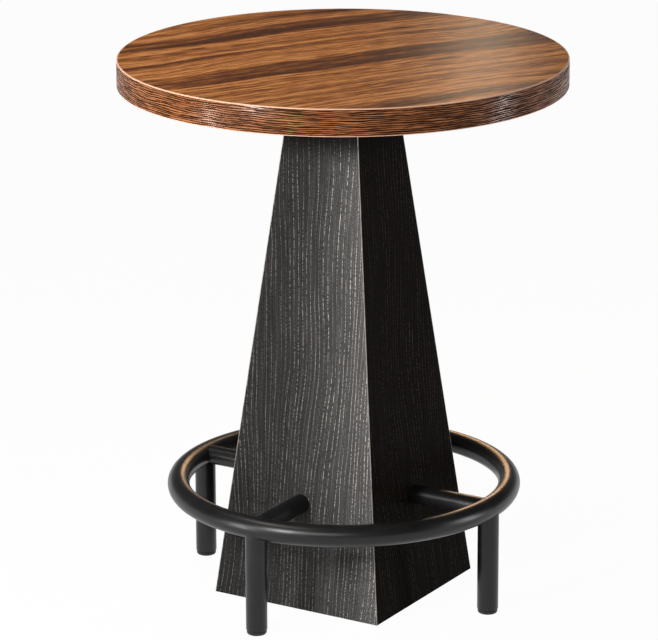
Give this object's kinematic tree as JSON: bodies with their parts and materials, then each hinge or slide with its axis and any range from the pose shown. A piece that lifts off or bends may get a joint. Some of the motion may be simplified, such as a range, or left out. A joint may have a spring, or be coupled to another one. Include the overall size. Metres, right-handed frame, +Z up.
{
  "type": "pub table",
  "caption": "Round bar-height pub table: thick wood-grain top on a tapered square pedestal, with a tube foot ring on short tube legs.",
  "frame": {"origin": "on the floor, under the centre of the table", "axes": "+Z up along the pedestal's axis; the pedestal's faces look along X and Y, and its front face looks along -Y"},
  "size_m": [0.8899, 0.89, 1.1],
  "materials": {
    "walnut_laminate": "satin high-pressure laminate with straight walnut grain",
    "edge_band": "satin moulded band with an embossed grain",
    "board": "raw board",
    "backer": "matt backing laminate",
    "black_oak_laminate": "satin black oak with brushed pores",
    "plywood": "sanded plywood",
    "hardwood": "sawn hardwood",
    "black_steel": "satin black powder coat",
    "zinc_steel": "zinc plated",
    "black_plastic": "moulded nylon"
  },
  "bodies": {
    "table": {"top_laminate": "walnut_laminate", "top_core": "board", "edge_build_up": "board", "pedestal_panel_right": "board", "pedestal_panel_back": "board", "pedestal_panel_left": "board", "pedestal_panel_front": "board", "top_backer": "backer", "edge_band": "edge_band", "pedestal_skin_right": "black_oak_laminate", "pedestal_skin_back": "black_oak_laminate", "pedestal_skin_left": "black_oak_laminate", "pedestal_skin_front": "black_oak_laminate", "pedestal_top_block": "plywood", "pedestal_shelf": "plywood", "base_board": "plywood", "corner_batten_1": "hardwood", "corner_batten_2": "hardwood", "corner_batten_3": "hardwood", "corner_batten_4": "hardwood", "anchor_block_right": "hardwood", "anchor_block_back": "hardwood", "anchor_block_left": "hardwood", "anchor_block_front": "hardwood", "top_plate": "black_steel", "foot_ring": "black_steel", "spokes": "black_steel", "legs": "black_steel", "top_inserts": "zinc_steel", "block_inserts": "zinc_steel", "top_plate_screws": "zinc_steel", "plate_bolts": "zinc_steel", "base_tee_nuts": "zinc_steel", "spoke_plugs": "zinc_steel", "anchor_bolts": "zinc_steel", "anchor_washers": "zinc_steel", "leg_inserts": "black_plastic"},
    "leg_glide_right_body": {"leg_glide_right": "black_plastic"},
    "leg_glide_back_body": {"leg_glide_back": "black_plastic"},
    "leg_glide_left_body": {"leg_glide_left": "black_plastic"},
    "leg_glide_front_body": {"leg_glide_front": "black_plastic"},
    "pedestal_leveller_1_body": {"pedestal_leveller_1": "black_plastic"},
    "pedestal_leveller_2_body": {"pedestal_leveller_2": "black_plastic"},
    "pedestal_leveller_3_body": {"pedestal_leveller_3": "black_plastic"},
    "pedestal_leveller_4_body": {"pedestal_leveller_4": "black_plastic"}
  },
  "joints": [
    {"name": "leg_glide_right_screw", "type": "slide", "parent": "table", "child": "leg_glide_right_body", "axis": [0, 0, -1], "range_m": [0, 0.012]},
    {"name": "leg_glide_back_screw", "type": "slide", "parent": "table", "child": "leg_glide_back_body", "axis": [0, 0, -1], "range_m": [0, 0.012]},
    {"name": "leg_glide_left_screw", "type": "slide", "parent": "table", "child": "leg_glide_left_body", "axis": [0, 0, -1], "range_m": [0, 0.012]},
    {"name": "leg_glide_front_screw", "type": "slide", "parent": "table", "child": "leg_glide_front_body", "axis": [0, 0, -1], "range_m": [0, 0.012]},
    {"name": "pedestal_leveller_1_screw", "type": "slide", "parent": "table", "child": "pedestal_leveller_1_body", "axis": [0, 0, -1], "range_m": [0, 0.012]},
    {"name": "pedestal_leveller_2_screw", "type": "slide", "parent": "table", "child": "pedestal_leveller_2_body", "axis": [0, 0, -1], "range_m": [0, 0.012]},
    {"name": "pedestal_leveller_3_screw", "type": "slide", "parent": "table", "child": "pedestal_leveller_3_body", "axis": [0, 0, -1], "range_m": [0, 0.012]},
    {"name": "pedestal_leveller_4_screw", "type": "slide", "parent": "table", "child": "pedestal_leveller_4_body", "axis": [0, 0, -1], "range_m": [0, 0.012]}
  ]
}
